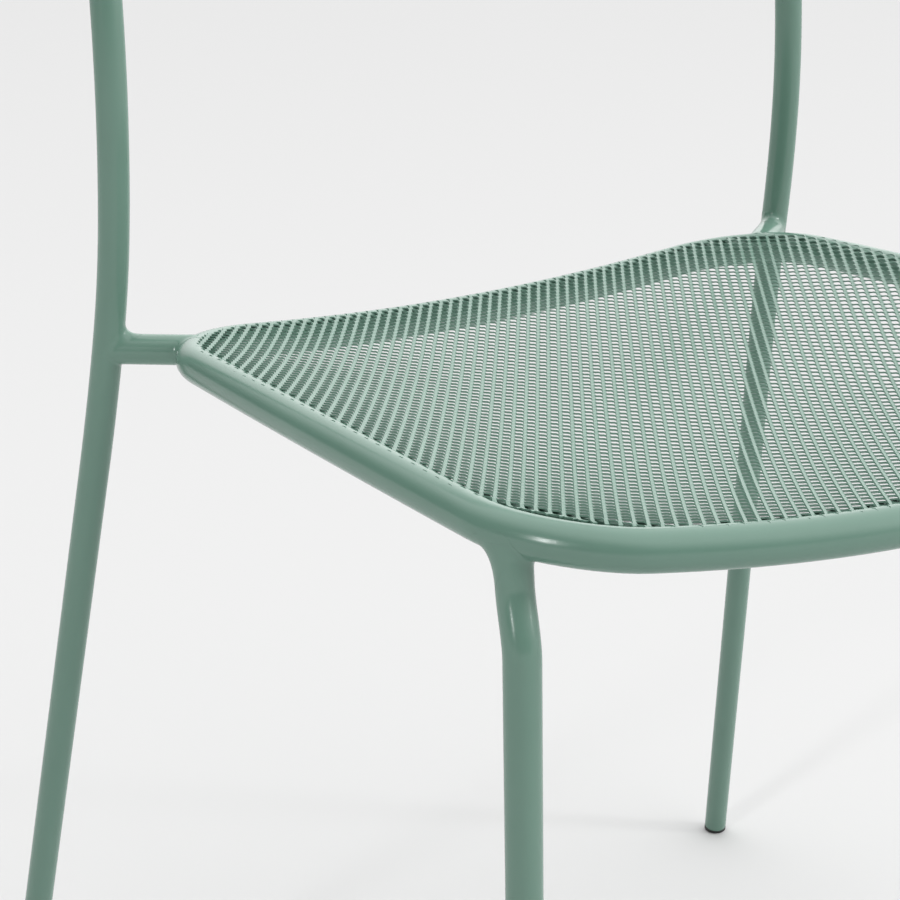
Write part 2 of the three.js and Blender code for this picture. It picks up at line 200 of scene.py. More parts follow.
def linear(hex_colour):
    """sRGB hex to linear RGBA."""
    parts = [int(hex_colour[i:i + 2], 16) / 255 for i in (1, 3, 5)]
    return [c / 12.92 if c <= 0.04045 else ((c + 0.055) / 1.055) ** 2.4 for c in parts] + [1.0]


def add_node(tree, kind, settings=(), **inputs):
    """Adds a node, sets its properties, and sets or links its inputs by name or number."""
    node = tree.nodes.new(kind)
    for key, value in dict(settings).items():
        setattr(node, key, value)
    for key, value in inputs.items():
        numbered = key[0] == "i" and key[1:].isdigit()
        socket = node.inputs[int(key[1:]) if numbered else key.replace("_", " ")]
        if isinstance(value, bpy.types.NodeSocket):
            tree.links.new(value, socket)
        else:
            socket.default_value = value
    return node


# Polyester powder coat on steel: a satin film about 80 microns thick. Its orange peel is a
# soft ripple of 1 to 2 mm, with a finer tooth that spreads the highlights.
COAT_GREEN = "#69897B"
COAT_DEEP = "#638375"
PEEL_MM, TOOTH_MM, CLOUD_MM = 1.6, 0.35, 45.0
TOOTH_SHARE = 0.18
TOOTH_LOW, TOOTH_HIGH = 0.35, 0.65
GLOSSIER, DULLER = 0.05, 0.06
COAT_IOR = 1.5


def powder_coat(name, roughness, peel_depth_mm):
    """Coat of the given middle roughness, with its two greens in faint clouds."""
    material = bpy.data.materials.new(name)
    material.use_nodes = True
    tree = material.node_tree
    shader = tree.nodes["Principled BSDF"]
    place = add_node(tree, "ShaderNodeTexCoord").outputs["Object"]
    cloud, peel, tooth = (
        add_node(tree, "ShaderNodeTexNoise", Vector=place, Scale=1 / (size * MM), Detail=detail)
        for size, detail in ((CLOUD_MM, 3.0), (PEEL_MM, 1.0), (TOOTH_MM, 2.0)))
    tone = add_node(tree, "ShaderNodeMix", {"data_type": "RGBA"}, Factor=cloud.outputs[0],
                    i6=linear(COAT_DEEP), i7=linear(COAT_GREEN))
    tree.links.new(tone.outputs[2], shader.inputs["Base Color"])
    gloss = add_node(tree, "ShaderNodeMapRange", Value=tooth.outputs[0], i1=TOOTH_LOW,
                     i2=TOOTH_HIGH, i3=roughness - GLOSSIER, i4=roughness + DULLER)
    tree.links.new(gloss.outputs[0], shader.inputs["Roughness"])
    relief = add_node(tree, "ShaderNodeMath", {"operation": "MULTIPLY_ADD"},
                      i0=tooth.outputs[0], i1=TOOTH_SHARE, i2=peel.outputs[0])
    bump = add_node(tree, "ShaderNodeBump", Strength=1.0, Distance=peel_depth_mm * MM,
                    Height=relief.outputs[0])
    tree.links.new(bump.outputs[0], shader.inputs["Normal"])
    shader.inputs["IOR"].default_value = COAT_IOR
    return material


frame_coat = powder_coat("polyester_powder_coat_on_steel_tube", 0.2, 0.02)

OUTLINE_STEP = 4.0
ring_plan = seat_outline(0, CORNER_FRONT, CORNER_REAR, OUTLINE_STEP)
ring_line = in_frame(seat_form(ring_plan[:, 0], ring_plan[:, 1]))
ring_skin = tube_skin(ring_line, RING_R, (0, 0, 1), closed=True)
piece_from("seat_ring_tube", [ring_skin], frame_coat, "coated_steel", "seat_ring")


# ------------------------------------------------------------------ rear frame
# Rear legs, uprights and top rail are one 14 mm tube: straight legs that splay out and
# back, a long 500 mm radius bend past the seat, and a hoop that leans back 14 degrees.
TUBE_R = 7.0
UPRIGHT_HALF, UPRIGHT_BEHIND = 196.2, 7.9
LEG_LEAN, LEG_SPLAY, CLOSE_IN = 0.2205, 0.119, 0.041
SPLAY_BEND, BEND_R, BEND_START = 60.0, 500.0, 5.0
BACK_LEAN = math.radians(14)
BACK_TOP, BACK_CORNER_R, BACK_BOW = 381.0, 62.0, 24.0
GLIDE_HEAD = 4.0
BEND_END = BEND_START + BEND_R * (math.sin(math.atan(LEG_LEAN)) + math.sin(BACK_LEAN))


def upright_at(h):
    """Centreline of the left upright in mm at heights above the seat ring's corners."""
    h = np.asarray(h, float)
    low = math.atan(LEG_LEAN)
    rise = np.clip(h, BEND_START, BEND_END) - BEND_START
    swing = np.arcsin(math.sin(low) - rise / BEND_R)
    y = (-LEG_LEAN * np.minimum(h, BEND_START) - BEND_R * (np.cos(swing) - math.cos(low))
         + math.tan(BACK_LEAN) * np.maximum(0, h - BEND_END))
    near = np.minimum(np.abs(h), SPLAY_BEND)
    bent = near ** 2 / (2 * SPLAY_BEND) + np.abs(h) - near
    x = UPRIGHT_HALF - (LEG_SPLAY + CLOSE_IN) / 2 * h + (LEG_SPLAY - CLOSE_IN) / 2 * bent
    return np.stack([x, DEPTH / 2 + UPRIGHT_BEHIND + y, SEAT_Z + h], -1)


def back_form(x, h):
    """Points of the bowed, leaning surface that the top of the frame lies in."""
    edge = upright_at(h)
    wide = np.clip(x / edge[..., 0], -1, 1)
    bowed_y = edge[..., 1] + BACK_BOW * (1 - wide ** 2)
    return np.stack([x + 0 * bowed_y, bowed_y, edge[..., 2]], -1)


foot_h = GLIDE_HEAD - SEAT_Z
hoop_arc_h = BACK_TOP - BACK_CORNER_R
heights = np.concatenate([
    np.linspace(foot_h, -SPLAY_BEND, 30),
    np.linspace(-SPLAY_BEND, BEND_END, 60)[1:],
    np.linspace(BEND_END, hoop_arc_h, 10)[1:],
])
hoop_x = float(upright_at(hoop_arc_h)[0]) - BACK_CORNER_R
swing = np.linspace(0, math.pi / 2, 21)[1:]
half_hoop = np.concatenate([
    upright_at(heights),
    back_form(hoop_x + BACK_CORNER_R * np.cos(swing), hoop_arc_h + BACK_CORNER_R * np.sin(swing)),
    back_form(hoop_x * (1 - np.linspace(0, 1, 20)[1:]), np.full(19, BACK_TOP)),
])
hoop_line = in_frame(np.concatenate([half_hoop, half_hoop[-2::-1] * np.array([-1, 1, 1])]))
piece_from("rear_frame_tube", [tube_skin(hoop_line, TUBE_R, (0, -1, 0))], frame_coat,
           "coated_steel", "back_frame")


# ------------------------------------------------------------------ stubs
# A short length of the same tube joins each upright to the ring's rear corner, level and
# square to the corner's bend, coped at both ends and welded all round.
STUB_ABOVE_RING = 0.5
STUB_RISE = RING_R - TUBE_R + STUB_ABOVE_RING


def ring_corner(rear, angle):
    """Point of the ring's centreline at an angle round its left rear or left front corner."""
    r = CORNER_REAR if rear else CORNER_FRONT
    half = HALF_REAR if rear else HALF_FRONT
    x = half - r + r * math.cos(angle)
    y = DEPTH / 2 - r + r * math.sin(angle) if rear else -DEPTH / 2 + r - r * math.sin(angle)
    return seat_form(np.array(x), np.array(y))


def mirrored(points):
    """The same points on the chair's right."""
    return points * np.array([-1, 1, 1])


stub_angle = math.atan2(DEPTH / 2 + UPRIGHT_BEHIND - (DEPTH / 2 - CORNER_REAR),
                        UPRIGHT_HALF - (HALF_REAR - CORNER_REAR))
stub_ring_end = ring_corner(True, stub_angle) + np.array([0, 0, STUB_RISE])
stub_post_end = upright_at(stub_ring_end[2] - SEAT_Z)
stub_line = stub_post_end + (stub_ring_end - stub_post_end) * np.linspace(0, 1, 12)[:, None]
for hand, flip in (("left", np.array), ("right", mirrored)):
    piece_from(f"stub_tube_{hand}", [tube_skin(in_frame(flip(stub_line)), TUBE_R, (0, 0, 1))],
               frame_coat, "coated_steel", f"rear_stub_{hand}")


# ------------------------------------------------------------------ front legs
# Plumb 14 mm tubes with a short double bend at the top that brings the end back under the
# ring's front corner, where it is coped and welded.
LEG_CORNER = math.radians(24.7)
LEG_OUT, LEG_AHEAD = 3.0, 10.4
JOG_LOW, JOG_HIGH = 44.0, 16.0
JOG_SHARE = 0.75
leg_top = ring_corner(False, LEG_CORNER)
leg_foot = np.array([leg_top[0] + LEG_OUT, leg_top[1] - LEG_AHEAD, GLIDE_HEAD])
jog_z = leg_top[2] - JOG_LOW
jog = np.linspace(0, 1, 24)
ease = jog ** 2 * (3 - 2 * jog) * JOG_SHARE
jog_line = np.stack([leg_foot[0] + (leg_top[0] - leg_foot[0]) * ease,
                     leg_foot[1] + (leg_top[1] - leg_foot[1]) * ease,
                     jog_z + (JOG_LOW - JOG_HIGH) * jog], -1)
straight_z = (jog_z - GLIDE_HEAD) * np.linspace(0, 1, 40)[:-1, None]
straight = leg_foot + np.array([0, 0, 1]) * straight_z
top_run = jog_line[-1] + (leg_top - jog_line[-1]) * np.linspace(0, 1, 8)[1:, None]
leg_line = np.concatenate([straight, jog_line, top_run])
for hand, flip in (("left", np.array), ("right", mirrored)):
    piece_from(f"front_leg_tube_{hand}", [tube_skin(in_frame(flip(leg_line)), TUBE_R, (0, -1, 0))],
               frame_coat, "coated_steel", f"front_leg_{hand}")


# ------------------------------------------------------------------ lower back rail
# A 12 mm tube bent to the bow of the top rail and set forward so that its front is flush
# with the uprights, coped and welded between them.
RAIL_R = 6.0
RAIL_H = 250.0


def back_normal(x, h):
    """Forward-facing direction square to the backrest."""
    limit = upright_at(h)[..., 0] - 1.0
    x = np.clip(x, -limit, limit)
    wide = back_form(x + 0.5, h) - back_form(x - 0.5, h)
    high = back_form(x, h + 0.5) - back_form(x, h - 0.5)
    n = np.cross(wide, high)
    return n / np.linalg.norm(n, axis=-1, keepdims=True)


rail_half = float(upright_at(RAIL_H)[0])
rail_x = rail_half * np.linspace(1, -1, 81)
rail_h = np.full(81, RAIL_H)
rail_line = back_form(rail_x, rail_h) + back_normal(rail_x, rail_h) * (TUBE_R - RAIL_R)
piece_from("lower_back_rail_tube", [tube_skin(in_frame(rail_line), RAIL_R, (0, 0, 1))], frame_coat,
           "coated_steel", "back_lower_rail")


# ------------------------------------------------------------------ weld beads
# Every joint is welded all round, ground a little and then buried under the coat, so each
# bead is a smooth hollow fillet with a faint ripple left in it.
FEATHER = 0.04
TOE_LEAN, TOE_MORE = 0.15, 0.6
HEAVY_POWER = 1.5
ROOT_IN_MAIN, ROOT_IN_TUBE, ROOT_UP = 0.8, 1.5, 0.3
RIPPLES, RIPPLE_SHARE = 26, 0.035
UNEVEN_LEAST, UNEVEN_MOST = 0.02, 0.06
HALVINGS = 30


def nearest_on(path, points):
    """Nearest points of a polyline in mm to each of the given points."""
    a, b = path[:-1], path[1:]
    run = b - a
    t = np.clip(((points[:, None] - a) * run).sum(-1) / (run * run).sum(-1), 0, 1)
    on = a + t[..., None] * run
    best = np.linalg.norm(points[:, None] - on, axis=-1).argmin(1)
    return on[np.arange(len(points)), best]


def weld_bead(end, away, tube_r, main, main_r, reach, spread, heavy, more, seed,
              steps=12, around=96):
    """Fillet round a tube that leaves a main tube's centreline at end, fuller on its heavy side."""
    rng = np.random.default_rng(seed)
    away = away / np.linalg.norm(away)
    ref = np.array([0.0, 0.0, 1.0]) if abs(away[2]) < 0.7 else np.array([0.0, 1.0, 0.0])
    u = np.cross(ref, away)
    u /= np.linalg.norm(u)
    w = np.cross(away, u)
    t = np.linspace(0, 2 * math.pi, around, endpoint=False)
    out = u * np.cos(t)[:, None] + w * np.sin(t)[:, None]
    low, high = np.zeros(around), np.full(around, 3 * main_r)
    for _ in range(HALVINGS):
        mid = (low + high) / 2
        p = end + out * tube_r + away * mid[:, None]
        inside = np.linalg.norm(p - nearest_on(main, p), axis=1) < main_r
        low, high = np.where(inside, mid, low), np.where(inside, high, mid)
    joint = end + out * tube_r + away * low[:, None]
    face = joint - nearest_on(main, joint)
    face /= np.linalg.norm(face, axis=1)[:, None]
    slide = out - (out * face).sum(1)[:, None] * face - TOE_LEAN * away
    slide /= np.linalg.norm(slide, axis=1)[:, None]
    uneven = 1 + sum(rng.uniform(UNEVEN_LEAST, UNEVEN_MOST) * np.cos(k * t + rng.uniform(0, 6.28))
                     for k in (2, 3, 5))
    ripple = 1 + RIPPLE_SHARE * np.cos(RIPPLES * t)
    share = np.clip(out @ (np.array(heavy) / np.linalg.norm(heavy)), 0, 1) ** HEAVY_POWER
    on_tube = joint + away * ((reach + more * share) * uneven)[:, None] + out * FEATHER
    on_main = joint + slide * ((spread + TOE_MORE * more * share) * uneven * ripple)[:, None]
    core = nearest_on(main, on_main)
    proud = (main_r + FEATHER) / np.linalg.norm(on_main - core, axis=1)
    on_main = core + (on_main - core) * proud[:, None]
    pull = joint + out * FEATHER
    rows = []
    for k in range(steps):
        f = k / (steps - 1)
        rows.append(on_tube * (1 - f) ** 2 + pull * 2 * f * (1 - f) + on_main * f ** 2)
    rows.append(core + (on_main - core) * ROOT_IN_MAIN)
    rows.append(joint - out * ROOT_IN_TUBE + away * reach * ROOT_UP)
    points = np.concatenate(rows)
    count = len(rows)
    faces = []
    for r in range(count):
        for k in range(around):
            a, b = r * around, (r + 1) % count * around
            faces.append((a + k, b + k, b + (k + 1) % around, a + (k + 1) % around))
    return points, faces


post_path = upright_at(np.linspace(-60, 60, 121))
ring_path = seat_form(ring_plan[:, 0], ring_plan[:, 1])
ring_path = np.concatenate([ring_path, ring_path[:1]])
high_post = upright_at(np.linspace(RAIL_H - 40, RAIL_H + 40, 81))
to_ring = stub_ring_end - stub_post_end
leg_axis = leg_line[-4] - leg_top
UP = (0.0, 0.0, 1.0)
beads = {
    "weld_upright": (stub_post_end, to_ring, TUBE_R, post_path, TUBE_R, 2.0, 2.0, UP, 5.5, 11),
    "weld_stub": (stub_ring_end, -to_ring, TUBE_R, ring_path, RING_R, 2.2, 2.0, UP, 1.2, 23),
    "weld_leg": (leg_top, leg_axis, TUBE_R, ring_path, RING_R, 4.5, 2.6, (0.85, 0.53, 0.0), 9.0, 31),
    "weld_rail": (rail_line[0], rail_line[3] - rail_line[0], RAIL_R, high_post, TUBE_R, 2.4, 2.2,
                  UP, 0.8, 47),
}
for name, values in beads.items():
    points, faces = weld_bead(*values)
    for hand, flip in (("left", np.array), ("right", mirrored)):
        turned = faces if hand == "left" else [f[::-1] for f in faces]
        piece_from(f"{name}_bead_{hand}", [(in_frame(flip(points)), turned)], frame_coat,
                   "coated_steel", f"{name}_{hand}")


# ------------------------------------------------------------------ expanded-metal seat
# Steel sheet slit and stretched into diamonds 8.5 mm long and 5.8 mm wide, with each
# strand tipped, pressed to a dish that is deepest at the front and welded onto the ring.
LONG_PITCH, SHORT_PITCH = 8.5, 5.83
STRAND_W, STRAND_T, STRAND_TIP = 1.95, 0.66, math.radians(-16)
BOND_HALF, BOND_LAP = 0.85, 0.42
MERGE_WITHIN = 0.02
MESH_RISE = 0.05
MESH_LAP = 0.8
DISH, DISH_POWER, DISH_EASE = 12.0, 3.0, 0.5
EDGE_DROP, EDGE_BAND = 0.75, 5.0


def strand_cell():
    """One bond of the sheet with the two strands that leave it, as four short boxed spans."""
    wide = np.array([math.cos(STRAND_TIP), 0, math.sin(STRAND_TIP)])
    thick = np.array([-math.sin(STRAND_TIP), 0, math.cos(STRAND_TIP)])
    section = np.array([wide * STRAND_W / 2 * a + thick * STRAND_T / 2 * b
                        for a, b in ((-1, -1), (1, -1), (1, 1), (-1, 1))])
    lap = wide * STRAND_W * BOND_LAP
    step = np.array([SHORT_PITCH / 2, LONG_PITCH / 2, 0])
    bond = np.array([0, BOND_HALF, 0])
    points, faces, runs, mids, ends = [], [], [], [], []
    for hand in (-1, 1):
        lean_to = np.array([hand, 1, 1])
        for start, stop in ((-bond + lap * hand, bond + lap * hand),
                            (bond + lap * hand, step * lean_to - bond - lap * hand)):
            base = len(points)
            points += [*(start + section), *(stop + section)]
            runs += [stop - start] * 4 + [start - stop] * 4
            mids += [*-section, *-section]
            for k in range(4):
                after = (k + 1) % 4
                faces.append((base + k, base + after, base + 4 + after, base + 4 + k))
            faces += [tuple(base + k for k in (3, 2, 1, 0)), tuple(base + 4 + k for k in range(4))]
            ends += [False] * 4 + [True] * 2
    mesh = bpy.data.meshes.new("strand_cell")
    mesh.from_pydata((np.array(points) * MM).tolist(), [], faces)
    for label, values in (("run", runs), ("to_middle", mids)):
        kept = mesh.attributes.new(label, "FLOAT_VECTOR", "POINT")
        kept.data.foreach_set("vector", (np.array(values) * MM).ravel())
    mesh.attributes.new("cut_face", "BOOLEAN", "FACE").data.foreach_set("value", ends)
    cell = bpy.data.objects.new("strand_cell", mesh)
    bpy.context.scene.collection.objects.link(cell)
    return cell


def expanded_metal_tree():
    """Lays the diamonds out flat, shears them along an outline and forms them over a guide."""
    tree = bpy.data.node_groups.new("expanded_metal", "GeometryNodeTree")
    face = tree.interface
    face.new_socket("Geometry", in_out="INPUT", socket_type="NodeSocketGeometry")
    for label, kind in (("Columns", "Int"), ("Rows", "Int"), ("Short pitch", "Float"),
                        ("Long pitch", "Float"), ("Origin", "Vector"), ("Tilt", "Vector"),
                        ("Drop", "Vector"), ("Cell", "Object"), ("Outline", "Object"),
                        ("Guide", "Object"), ("Material", "Material")):
        face.new_socket(label, in_out="INPUT", socket_type="NodeSocket" + kind)
    face.new_socket("Geometry", in_out="OUTPUT", socket_type="NodeSocketGeometry")
    given = add_node(tree, "NodeGroupInput").outputs

    def calc(operation, a, b=0.0):
        return add_node(tree, "ShaderNodeMath", {"operation": operation}, i0=a, i1=b).outputs[0]

    def vector(operation, a, b=None, scale=None):
        inputs = {"i0": a}
        if b is not None:
            inputs["i1"] = b
        if scale is not None:
            inputs["Scale"] = scale
        node = add_node(tree, "ShaderNodeVectorMath", {"operation": operation}, **inputs)
        return node.outputs["Value" if operation in ("DOT_PRODUCT", "LENGTH") else "Vector"]

    def surface(label):
        return add_node(tree, "GeometryNodeObjectInfo", {"transform_space": "ORIGINAL"},
                        Object=given[label]).outputs["Geometry"]

    def ray(label, source, direction, length):
        return add_node(tree, "GeometryNodeRaycast", Target_Geometry=surface(label),
                        Source_Position=source, Ray_Direction=direction, Ray_Length=length).outputs

    def stored(label, kind="FLOAT"):
        return add_node(tree, "GeometryNodeInputNamedAttribute", {"data_type": kind},
                        Name=label).outputs[0]

    def store(geometry, label, value, kind="FLOAT"):
        return add_node(tree, "GeometryNodeStoreNamedAttribute",
                        {"data_type": kind, "domain": "POINT"},
                        Geometry=geometry, Name=label, Value=value).outputs[0]

    where = add_node(tree, "GeometryNodeInputPosition").outputs[0]
    wide = calc("MULTIPLY", calc("SUBTRACT", given["Columns"], 1.0), given["Short pitch"])
    long = calc("MULTIPLY", calc("SUBTRACT", given["Rows"], 1.0), given["Long pitch"])
    lattice = add_node(tree, "GeometryNodeMeshGrid", Vertices_X=given["Columns"],
                       Vertices_Y=given["Rows"], Size_X=wide, Size_Y=long)
    offset = add_node(tree, "ShaderNodeCombineXYZ", X=calc("MULTIPLY", given["Short pitch"], 0.5),
                      Y=calc("MULTIPLY", given["Long pitch"], 0.5))
    between = add_node(tree, "GeometryNodeTransform", Geometry=lattice.outputs[0],
                       Translation=offset.outputs[0])
    both = add_node(tree, "GeometryNodeJoinGeometry")
    tree.links.new(lattice.outputs[0], both.inputs[0])
    tree.links.new(between.outputs[0], both.inputs[0])
    copies = add_node(tree, "GeometryNodeInstanceOnPoints", Points=both.outputs[0],
                      Instance=surface("Cell"))
    flat = add_node(tree, "GeometryNodeRealizeInstances", Geometry=copies.outputs[0]).outputs[0]

    middle = vector("ADD", where, stored("to_middle", "FLOAT_VECTOR"))
    run = stored("run", "FLOAT_VECTOR")
    over = ray("Outline", middle, (0.0, 0.0, 1.0), 0.1)["Is Hit"]
    shear = ray("Outline", middle, run, vector("LENGTH", run))
    flat = store(flat, "outside", calc("SUBTRACT", 1.0, over))
    flat = store(flat, "met", shear["Is Hit"])
    flat = store(flat, "trim", vector("SUBTRACT", shear["Hit Position"], middle), "FLOAT_VECTOR")
    lost = calc("MULTIPLY", stored("outside"), calc("SUBTRACT", 1.0, stored("met")))
    kept = add_node(tree, "GeometryNodeDeleteGeometry", {"domain": "POINT"}, Geometry=flat,
                    Selection=calc("GREATER_THAN", lost, 0.5))
    cut = add_node(tree, "GeometryNodeSetPosition", Geometry=kept.outputs[0],
                   Selection=calc("GREATER_THAN", stored("outside"), 0.5),
                   Offset=stored("trim", "FLOAT_VECTOR"))
    inner_end = calc("MULTIPLY", stored("cut_face", "BOOLEAN"),
                     calc("LESS_THAN", stored("outside"), 0.5))
    sheet = add_node(tree, "GeometryNodeDeleteGeometry", {"domain": "FACE"}, Geometry=cut.outputs[0],
                     Selection=calc("GREATER_THAN", inner_end, 0.5))

    placed = add_node(tree, "GeometryNodeTransform", Geometry=sheet.outputs[0],
                      Translation=given["Origin"], Rotation=given["Tilt"])
    depth = vector("DOT_PRODUCT", vector("SUBTRACT", where, given["Origin"]), given["Drop"])
    height = calc("MULTIPLY", depth, -1.0)
    level = vector("ADD", where, vector("SCALE", given["Drop"], scale=height))
    landing = ray("Guide", level, given["Drop"], 1.0)
    proud = vector("SCALE", landing["Hit Normal"], scale=height)
    target = vector("ADD", landing["Hit Position"], proud)
    formed = add_node(tree, "GeometryNodeSetPosition", Geometry=placed.outputs[0],
                      Selection=landing["Is Hit"], Position=target)
    joined = add_node(tree, "GeometryNodeMergeByDistance", Geometry=formed.outputs[0],
                      Distance=MERGE_WITHIN * MM)
    solid = add_node(tree, "GeometryNodeRealizeInstances", Geometry=joined.outputs[0])
    coated = add_node(tree, "GeometryNodeSetMaterial", Geometry=solid.outputs[0],
                      Material=given["Material"])
    result = add_node(tree, "NodeGroupOutput")
    tree.links.new(coated.outputs[0], result.inputs[0])
    return tree


def helper_mesh(name, points, faces):
    """A working shape for the tree to read, taken away again afterwards."""
    mesh = bpy.data.meshes.new(name)
    mesh.from_pydata(points.tolist(), [], faces)
    helper = bpy.data.objects.new(name, mesh)
    bpy.context.scene.collection.objects.link(helper)
    return helper


def guide_surface(name, rows):
    """Surface through equal closed rows of points in mm, ending in a fan on the last row."""
    n = len(rows[0])
    points = np.concatenate([*rows, rows[-1].mean(0, keepdims=True)])
    faces = []
    for r in range(len(rows) - 1):
        for k in range(n):
            a, b = r * n, (r + 1) * n
            faces.append((a + k, a + (k + 1) % n, b + (k + 1) % n, b + k))
    last = (len(rows) - 1) * n
    faces += [(last + k, last + (k + 1) % n, len(points) - 1) for k in range(n)]
    return helper_mesh(name, points * MM, faces)


WALL_HALF = 0.005


def shear_outline(name, edge, origin, up):
    """The sheet's edge seen square to its flat blank: a wall with a lid."""
    n = len(edge)
    rel = edge * MM - np.array(origin)
    x, y = rel[:, 0], rel @ np.array(up)
    low = np.stack([x, y, np.full(n, -WALL_HALF)], -1)
    high = np.stack([x, y, np.full(n, WALL_HALF)], -1)
    faces = [(k, (k + 1) % n, n + (k + 1) % n, n + k) for k in range(n)]
    faces += [(n + k, n + (k + 1) % n, 2 * n) for k in range(n)]
    return helper_mesh(name, np.concatenate([low, high, high.mean(0, keepdims=True)]), faces)


def expanded_metal(name, outline, guide, columns, rows, origin, tilt, drop, material, cad_node):
    """Runs the tree once and keeps its result as a plain mesh riding on the frame."""
    piece = bpy.data.objects.new(name, bpy.data.meshes.new(name))
    bpy.context.scene.collection.objects.link(piece)
    modifier = piece.modifiers.new("expanded_metal", "NODES")
    modifier.node_group = metal_tree
    values = {"Columns": columns, "Rows": rows, "Short pitch": SHORT_PITCH * MM,
              "Long pitch": LONG_PITCH * MM, "Origin": origin, "Tilt": tilt, "Drop": drop,
              "Cell": cell, "Outline": outline, "Guide": guide, "Material": material}
    for item in metal_tree.interface.items_tree:
        if item.in_out == "INPUT" and item.name in values:
            modifier[item.identifier] = values[item.name]
    depsgraph = bpy.context.evaluated_depsgraph_get()
    mesh = bpy.data.meshes.new_from_object(piece.evaluated_get(depsgraph))
    piece.modifiers.remove(modifier)
    piece.data = mesh
    mesh.name = name
    for attribute in ("run", "to_middle", "outside", "met", "trim", "cut_face"):
        if attribute in mesh.attributes:
            mesh.attributes.remove(mesh.attributes[attribute])
    for helper in (outline, guide):
        bpy.data.objects.remove(helper)
    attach(piece, "root")
    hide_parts(cad_node)
    return piece


SHEET_FULLER_FRONT, SHEET_FULLER_REAR = 18.0, 8.0
seat_edge = seat_outline(MESH_LAP, CORNER_FRONT + SHEET_FULLER_FRONT,
                         CORNER_REAR + SHEET_FULLER_REAR, OUTLINE_STEP)


def seat_row(t, drop=0.0):
    """Ring of points on the seat's surface at a share t of the way out to its edge."""
    points = seat_form(seat_edge[:, 0] * t, seat_edge[:, 1] * t)
    rearward = np.clip(seat_edge[:, 1] * t / DEPTH + 0.5, 0, 1)
    depth = DISH * (1 - DISH_EASE * rearward ** 2 * (3 - 2 * rearward))
    points[:, 2] += RING_R + MESH_RISE - depth * (1 - min(t, 1.0) ** DISH_POWER) - drop
    return in_frame(points)


def edge_drop(t, half_width):
    """The sheet's rim is pressed down a little over the round of the tube."""
    inside = (1 - t) * half_width
    return EDGE_DROP * max(0.0, 1 - inside / EDGE_BAND) ** 2


# A seam of weld and coat runs round under the sheet's rim and fills it to the tube.
SEAM_IN, SEAM_DROP, SEAM_R = 6.0, 2.0, 1.5
SEAM_UNEVEN, SEAM_BEAT = 0.06, 1.9
seam_line = seat_row(1 - SEAM_IN / HALF_FRONT, SEAM_DROP)
seam_r = SEAM_R * (1 + SEAM_UNEVEN * np.cos(np.arange(len(seam_line)) * SEAM_BEAT))
piece_from("seat_rim_seam", [tube_skin(seam_line, seam_r, (0, 0, 1), closed=True, sides=12)],
           frame_coat, "coated_steel")

seat_shares = [1.02, 1.01, 1.0, 0.995, 0.99, 0.985, 0.98, 0.975, *np.linspace(0.965, 0.02, 56)]
seat_coat = powder_coat("polyester_powder_coat_on_expanded_steel", 0.3, 0.02)
metal_tree = expanded_metal_tree()
cell = strand_cell()
SEAT_CELLS = (66, 45)
# The flat blank is laid out above the seat, at these two distances in metres.
SEAT_BLANK_AHEAD, SEAT_BLANK_Z = 0.019, 0.6
seat_spot = (0.0, FRAME_Y * MM - SEAT_BLANK_AHEAD, SEAT_BLANK_Z)
expanded_metal(
    "expanded_metal_seat", shear_outline("seat_blank", seat_row(1.0), seat_spot, (0, 1, 0)),
    guide_surface("seat_guide", [seat_row(t, edge_drop(t, HALF_FRONT)) for t in seat_shares]),
    *SEAT_CELLS, seat_spot, (0.0, 0.0, 0.0), (0.0, 0.0, -1.0), seat_coat, "seat_mesh")


# ------------------------------------------------------------------ expanded-metal back
# The same sheet with the same diamonds, cut to the hoop and welded on the front of the
# hoop and the lower rail, so it takes the bow and the lean of the backrest.
PANEL_LOW, PANEL_HIGH = RAIL_H - 1, BACK_TOP - 1
PANEL_CORNER, PANEL_LOW_CORNER = BACK_CORNER_R - 1, 6.0
PANEL_CELLS = (66, 20)
# A middling reach from the panel's middle to its rim, between half its height and half its width.
PANEL_REACH = 100.0
PANEL_BLANK_AHEAD = 0.2


def panel_outline(step):
    """Outline of the back panel as x and height above the seat, anticlockwise from below."""
    low_x = float(upright_at(PANEL_LOW)[0]) - 1 - PANEL_LOW_CORNER
    top_x = float(upright_at(hoop_arc_h)[0]) - 1 - PANEL_CORNER
    arcs = []
    for x, h, r, start in ((low_x, PANEL_LOW + PANEL_LOW_CORNER, PANEL_LOW_CORNER, -90),
                           (top_x, PANEL_HIGH - PANEL_CORNER, PANEL_CORNER, 0),
                           (-top_x, PANEL_HIGH - PANEL_CORNER, PANEL_CORNER, 90),
                           (-low_x, PANEL_LOW + PANEL_LOW_CORNER, PANEL_LOW_CORNER, 180)):
        t = np.radians(start + np.linspace(0, 90, max(4, round(r * 1.57 / step)) + 1))
        arcs.append(np.stack([x + r * np.cos(t), h + r * np.sin(t)], -1))
    line = []
    for i, arc in enumerate(arcs):
        line.append(arc)
        after = arcs[(i + 1) % 4][0]
        n = max(2, round(np.linalg.norm(after - arc[-1]) / step))
        line.append(arc[-1] + (after - arc[-1]) * (np.arange(1, n) / n)[:, None])
    return np.concatenate(line)


panel_edge = panel_outline(OUTLINE_STEP)
panel_mid = np.array([0.0, (PANEL_LOW + PANEL_HIGH) / 2])


def panel_row(t, drop=0.0):
    """Ring of points on the back panel at a share t of the way out to its edge."""
    flat = panel_mid + (panel_edge - panel_mid) * t
    points = back_form(flat[:, 0], flat[:, 1])
    forward = back_normal(flat[:, 0], flat[:, 1]) * (TUBE_R + MESH_RISE - drop)
    return in_frame(points + forward)


